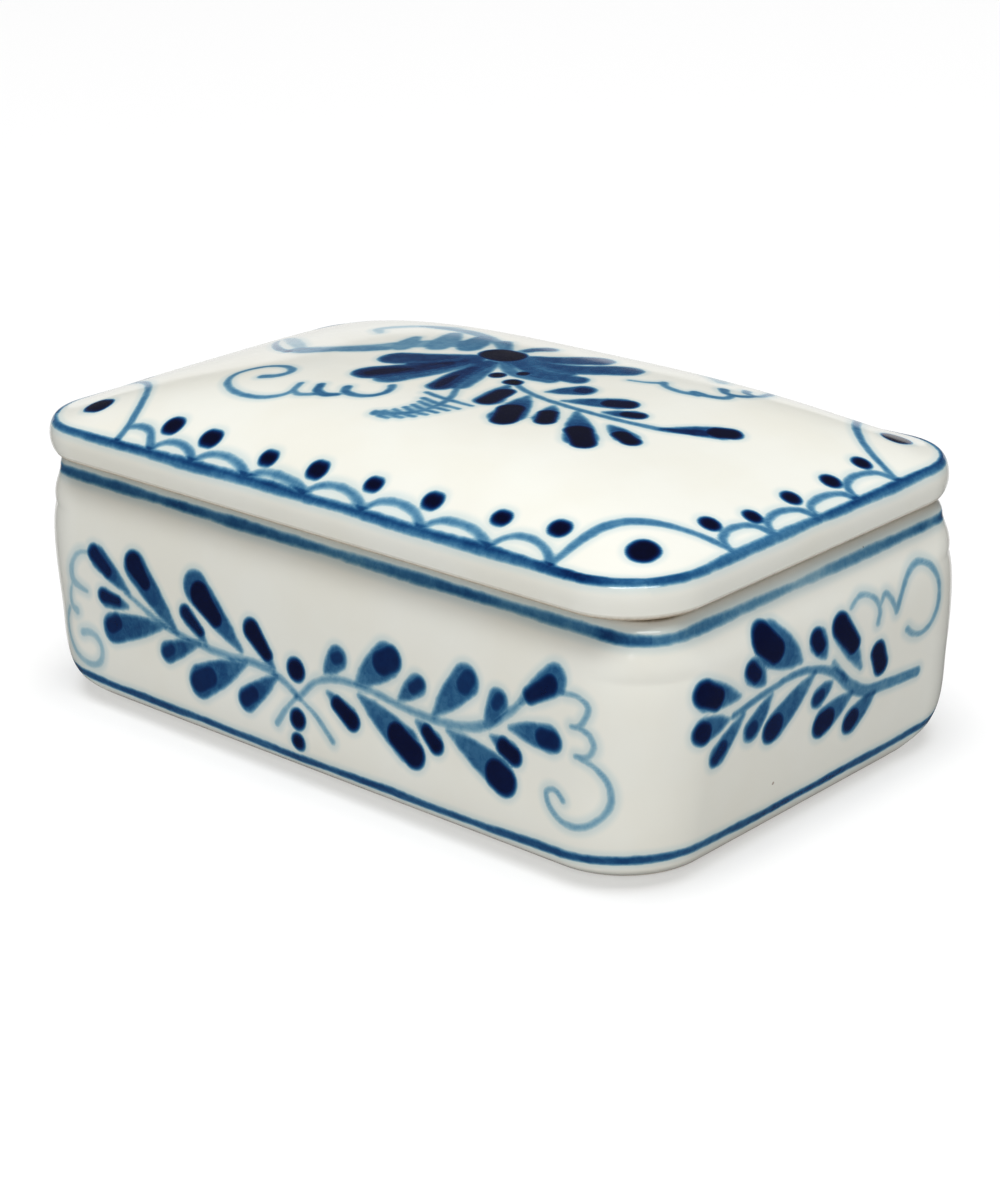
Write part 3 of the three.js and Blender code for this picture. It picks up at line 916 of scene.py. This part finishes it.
def porcelain():
    """White glazed porcelain with underglaze cobalt painting, speckles, bare bisque, and painted shade
    in the gap under the lid.
    """
    n = Nodes("glazed_porcelain")
    place = n.node("ShaderNodeTexCoord").outputs["Object"]
    edges, tones = n.attribute("ink_edge"), n.attribute("ink_tone")
    # share of bare clay, and of painted shade under the lid's edge
    bare_and_gap_shade = n.attribute("bare_and_gap_shade")[0]

    # each layer of painting: its edge wanders a little and blurs into the glaze
    shake = n.math("SUBTRACT", n.noise(1.6, 3, at=place), 0.5)
    grain = n.math("SUBTRACT", n.noise(0.35, 2, at=place), 0.5)
    pooling = n.noise(2.6, 3, 0.6, at=place)
    streaks = n.noise(0.9, 4, 0.65, at=place, distortion=0.6)
    ink = []
    for layer, wander, outer, inner, unevenness in LAYERS:
        edge = n.math("MULTIPLY_ADD", shake, wander, edges[layer])
        edge = n.math("MULTIPLY_ADD", grain, 0.07, edge)
        inside = n.spread(edge, outer, -inner)
        mottle = n.spread(n.math("ADD", pooling, streaks), 0.7, 1.3,
                          1 - 0.5 * unevenness, 1 + 0.35 * unevenness)
        load = n.math("MULTIPLY", tones[layer], mottle)
        ink.append(n.math("MULTIPLY", load, inside))
    nearest = n.math("MINIMUM", n.math("MINIMUM", edges[0], edges[1]), edges[2])
    halo = n.spread(nearest, HALO_REACH, 0.0, 0.0, HALO_LOAD)
    broad = n.math("MAXIMUM", ink[WASH], n.math("MULTIPLY", ink[DARK], DARK_LOAD))
    cobalt = n.math("MAXIMUM", n.math("MULTIPLY_ADD", ink[LINE], LINE_LOAD, broad), halo)
    passed = [n.math("EXPONENT", n.math("MULTIPLY", cobalt, -takes)) for takes in COBALT_TAKES]
    stain = n.node("ShaderNodeCombineColor", Red=passed[0], Green=passed[1], Blue=passed[2])

    # the body: nearly white, creamier in patches, with rare iron specks and pin pricks
    patches = n.spread(n.noise(19, 3, 0.55, at=place), 0.35, 0.7)
    body = n.mix(patches, BODY_WHITE, BODY_CREAM)
    cells = n.node("ShaderNodeTexVoronoi", {"feature": "F1"}, Vector=place, Scale=1 / (6.5 * MM))
    chosen = n.node("ShaderNodeSeparateColor", Color=cells.outputs["Color"])
    size = n.spread(chosen.outputs[0], 0.72, 1.0, 0.0, 0.035, eased=False)
    speck = n.math("LESS_THAN", cells.outputs["Distance"], size)
    colour = n.mix(n.math("MULTIPLY", speck, 0.55), body, IRON_BROWN)
    painted = n.mix(1.0, colour, stain.outputs[0], "MULTIPLY")
    # the clay's brown, for bare bisque and for painted shade under the lid's edge
    dust = n.noise(0.5, 3, 0.7, at=place)
    clay_and_gap_shade = n.mix(n.spread(dust, 0.35, 0.7), BISQUE_AND_GAP_SHADE, BISQUE_DUSTY_AND_GAP_SHADE)
    painted = n.mix(bare_and_gap_shade, painted, clay_and_gap_shade)

    # glaze: smooth, with slow waves, faint orange peel, and pin holes; the bisque and the painted gap
    # shade are matt
    waves = n.noise(7, 2, at=place)
    peel = n.noise(0.8, 2, at=place)
    grit = n.math("MULTIPLY", n.noise(0.25, 3, 0.7, at=place), bare_and_gap_shade)
    height = n.math("MULTIPLY_ADD", waves, 0.45, n.math("MULTIPLY", peel, 0.05))
    height = n.math("MULTIPLY_ADD", grit, 0.35, height)
    height = n.math("MULTIPLY_ADD", speck, 0.1, height)
    bump = n.node("ShaderNodeBump", Strength=0.35, Distance=0.16 * MM, Height=height)
    shine = n.spread(n.noise(5, 3, 0.6, at=place), 0.3, 0.75, 0.10, 0.17)
    roughness = n.math("MAXIMUM", shine, n.math("MULTIPLY", bare_and_gap_shade, 0.72))

    shader = n.node("ShaderNodeBsdfPrincipled", Base_Color=painted, Roughness=roughness)
    n.set(shader, "Normal", bump.outputs[0])
    n.set(shader, "IOR", 1.5)
    n.set(shader, "Specular IOR Level", 0.5)
    out = n.node("ShaderNodeOutputMaterial")
    n.tree.links.new(shader.outputs[0], out.inputs["Surface"])
    return n.material


def store_bare_and_gap_shade(piece, share):
    store(piece, "bare_and_gap_shade", np.column_stack([share, share, share]))


def bare_base(points):
    """Unglazed on the foot ring's flat, a thin line up its edge, and the rim."""
    a, b, _ = wall_outline(0.0)
    inset = np.minimum(a - np.abs(points[:, 0]), b - np.abs(points[:, 1]))
    low = np.clip(1 - points[:, 2] / 0.5, 0, 1)
    ring = np.clip((FOOT_RING + 1.4 - inset) / 0.5, 0, 1)
    rim = np.clip((points[:, 2] - RIM + 0.3) / 0.2, 0, 1)
    return np.maximum(low * ring, rim)


def lid_bare_and_gap_shade(points):
    """Unglazed on the seat, and painted shade on the lowest turn of the edge above it: the clay's brown
    drawn there as the dark gap under the lid.
    """
    # the seat stays bare clay; the brown reaching 0.85 mm up the rolled edge is a painted shadow line
    # under the lid
    low = np.clip(1 - (points[:, 2] - SEAT - 0.25) / 0.6, 0, 1)
    return low * (points[:, 2] > SEAT - 0.5)


# --- Pieces -----------------------------------------------------------------

glaze = porcelain()

base, base_points, base_charts = make_base()
paint_base(base, base_points, base_charts)
store_bare_and_gap_shade(base, bare_base(base_points))

lid, lid_points, lid_charts = make_lid()
paint_lid(lid, lid_points, lid_charts)
store_bare_and_gap_shade(lid, lid_bare_and_gap_shade(lid_points))

for piece, body, node in ((base, "base", "box_base"), (lid, "lid", "lid")):
    piece.data.materials.append(glaze)
    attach(piece, body)
    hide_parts(node)


# --- Floor, lights and camera -----------------------------------------------


def plain(name, colour, roughness, glow):
    """One even colour that also glows a little."""
    n = Nodes(name)
    shader = n.node("ShaderNodeBsdfPrincipled", Base_Color=(*colour, 1), Roughness=roughness)
    n.set(shader, "Emission Color", (1, 1, 1, 1))
    n.set(shader, "Emission Strength", glow)
    out = n.node("ShaderNodeOutputMaterial")
    n.tree.links.new(shader.outputs[0], out.inputs["Surface"])
    return n.material


def make_floor():
    """Pale paper, which the glaze doesn't mirror."""
    half = 3.0
    mesh = bpy.data.meshes.new("floor")
    corners = [(-half, -half, 0), (half, -half, 0), (half, half, 0), (-half, half, 0)]
    mesh.from_pydata(corners, [], [(0, 1, 2, 3)])
    floor = bpy.data.objects.new("floor", mesh)
    bpy.context.scene.collection.objects.link(floor)
    floor.visible_glossy = False
    mesh.materials.append(plain("floor_paper", (0.55, 0.55, 0.55), 0.85, glow=0.38))


def softbox(name, azimuth, elevation, distance, width, height, power, mirrored):
    """A rectangular light facing the box: one that lights it, or one that its glaze mirrors."""
    light = bpy.data.lights.new(name, "AREA")
    light.shape, light.size, light.size_y, light.energy = "RECTANGLE", width, height, power
    lamp = bpy.data.objects.new(name, light)
    bpy.context.scene.collection.objects.link(lamp)
    az, el = math.radians(azimuth), math.radians(elevation)
    back = Vector((math.sin(az) * math.cos(el), -math.cos(az) * math.cos(el), math.sin(el)))
    lamp.location = back * distance
    lamp.rotation_euler = back.to_track_quat("Z", "Y").to_euler()
    lamp.visible_camera = False
    lamp.visible_diffuse, lamp.visible_glossy = not mirrored, mirrored


def make_world(strength):
    """An even white surround, seen white and lighting the box with a given strength."""
    world = bpy.data.worlds.new("studio")
    world.use_nodes = True
    tree = world.node_tree
    background = tree.nodes["Background"]
    background.inputs["Color"].default_value = (1, 1, 1, 1)
    seen = tree.nodes.new("ShaderNodeLightPath").outputs["Is Camera Ray"]
    level = tree.nodes.new("ShaderNodeMath")
    level.operation = "MAXIMUM"
    level.inputs[1].default_value = strength
    tree.links.new(seen, level.inputs[0])
    tree.links.new(level.outputs[0], background.inputs["Strength"])
    bpy.context.scene.world = world


CAMERA_AZIMUTH, CAMERA_ELEVATION, CAMERA_ROLL = 43.663, 20.939, -1.934
CAMERA_DISTANCE = 0.34056
CAMERA_TARGET = Vector((0.001184, 0.001130, 0.0143))
CAMERA_LENS = 80.96


def make_camera():
    """A long lens aimed at CAMERA_TARGET, turned a little about its own axis."""
    camera = bpy.data.objects.new("camera", bpy.data.cameras.new("camera"))
    bpy.context.scene.collection.objects.link(camera)
    az, el, roll = (math.radians(v) for v in (CAMERA_AZIMUTH, CAMERA_ELEVATION, CAMERA_ROLL))
    back = Vector((math.sin(az) * math.cos(el), -math.cos(az) * math.cos(el), math.sin(el)))
    right = Vector((math.cos(az), math.sin(az), 0))
    up = back.cross(right)
    image_right = right * math.cos(roll) + up * math.sin(roll)
    image_up = up * math.cos(roll) - right * math.sin(roll)
    turn = Matrix((image_right, image_up, back)).transposed().to_4x4()
    camera.matrix_world = Matrix.Translation(CAMERA_TARGET + back * CAMERA_DISTANCE) @ turn
    camera.data.lens = CAMERA_LENS
    camera.data.sensor_width = 36
    camera.data.clip_start = 0.01
    bpy.context.scene.camera = camera


make_floor()
make_world(0.07)
# two softboxes light the box, and its glaze mirrors two cards
softbox("overhead", 48, 85, 4.0, 3.3, 3.3, 221, mirrored=False)
softbox("fill", 38, 25, 0.45, 0.25, 0.15, 0.4, mirrored=False)
softbox("front_card", 43.7, 30, 1.0, 1.0, 0.1, 3.4, mirrored=True)
softbox("back_card", 223.7, -8, 1.5, 2.0, 0.9, 3.8, mirrored=True)
make_camera()
bpy.context.scene.view_settings.view_transform = "Standard"
